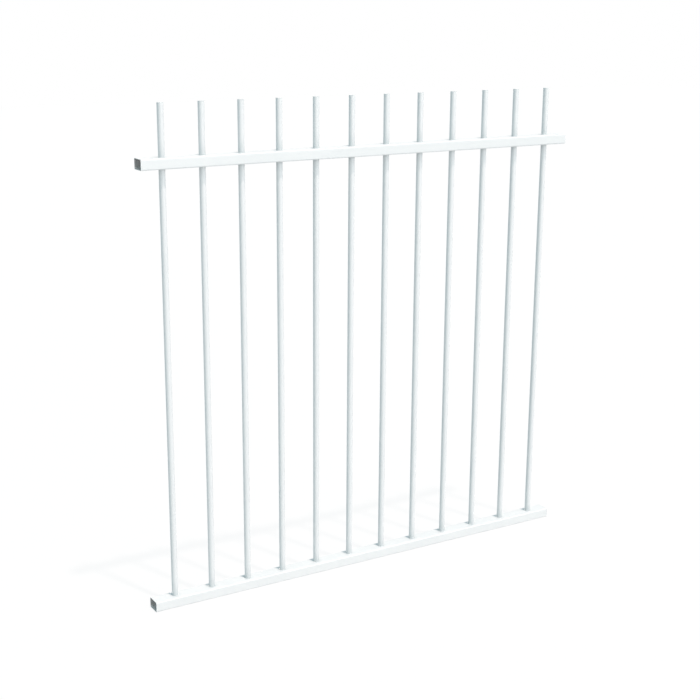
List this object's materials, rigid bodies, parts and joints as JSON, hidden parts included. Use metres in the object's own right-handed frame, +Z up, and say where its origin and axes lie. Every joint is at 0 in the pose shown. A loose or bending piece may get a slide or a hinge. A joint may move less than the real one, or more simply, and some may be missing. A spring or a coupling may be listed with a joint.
{
  "type": "tubular picket fence panel",
  "caption": "White tubular fence panel: round rods with plain flat tops pass through a hollow top rail and stand in a hollow bottom rail, both open at the ends.",
  "frame": {"origin": "middle of the bottom rail's underside", "axes": "+Z up along the rods, X along the rails, Y through the panel; -Y is the side the picture shows"},
  "size_m": [1.192, 0.038, 1.2],
  "materials": {
    "white_coat": "satin powder coat",
    "white_plastic": "moulded, matt"
  },
  "bodies": {
    "root": {"bottom_rail": "white_coat", "top_rail": "white_coat", "rod_01": "white_coat", "rod_02": "white_coat", "rod_03": "white_coat", "rod_04": "white_coat", "rod_05": "white_coat", "rod_06": "white_coat", "rod_07": "white_coat", "rod_08": "white_coat", "rod_09": "white_coat", "rod_10": "white_coat", "rod_11": "white_coat", "rod_12": "white_coat", "rod_plug_01": "white_plastic", "rod_plug_02": "white_plastic", "rod_plug_03": "white_plastic", "rod_plug_04": "white_plastic", "rod_plug_05": "white_plastic", "rod_plug_06": "white_plastic", "rod_plug_07": "white_plastic", "rod_plug_08": "white_plastic", "rod_plug_09": "white_plastic", "rod_plug_10": "white_plastic", "rod_plug_11": "white_plastic", "rod_plug_12": "white_plastic"}
  },
  "joints": []
}
